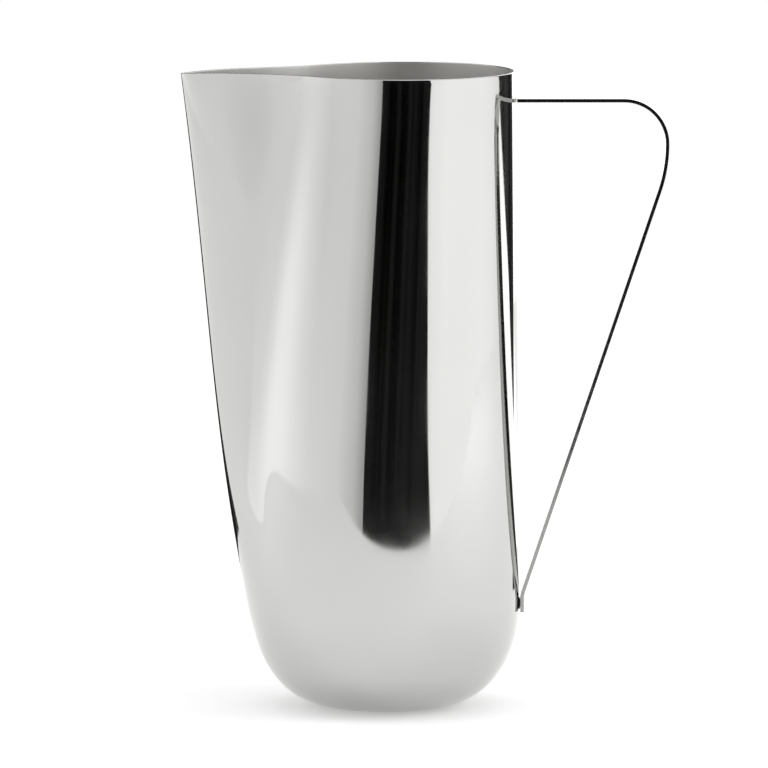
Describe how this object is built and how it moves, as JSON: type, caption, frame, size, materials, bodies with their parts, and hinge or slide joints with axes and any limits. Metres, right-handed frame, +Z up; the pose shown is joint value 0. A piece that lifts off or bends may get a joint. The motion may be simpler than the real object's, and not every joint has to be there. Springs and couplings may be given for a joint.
{
  "type": "cocktail pitcher",
  "caption": "Tall polished steel cocktail pitcher: round drawn cup with a rounded base, pressed pouring spout and bent flat strap handle welded on.",
  "frame": {"origin": "middle of the flat patch that the pitcher stands on, on the axis of the round cup", "axes": "+Z up from the table to the rim, -X towards the pouring spout, +X towards the handle, +Y to the back as pictured"},
  "size_m": [0.183, 0.1004, 0.24],
  "materials": {
    "polished_cup_steel": "18/8 stainless steel sheet, mirror polished outside and along the rim, fine satin inside",
    "polished_strap_steel": "18/8 stainless steel strip, mirror polished faces and edges",
    "weld_steel": "stainless filler weld, ground and buffed"
  },
  "bodies": {
    "root": {"body_shell": "polished_cup_steel", "handle_strap": "polished_strap_steel", "upper_weld": "weld_steel", "lower_weld": "weld_steel"}
  },
  "joints": []
}
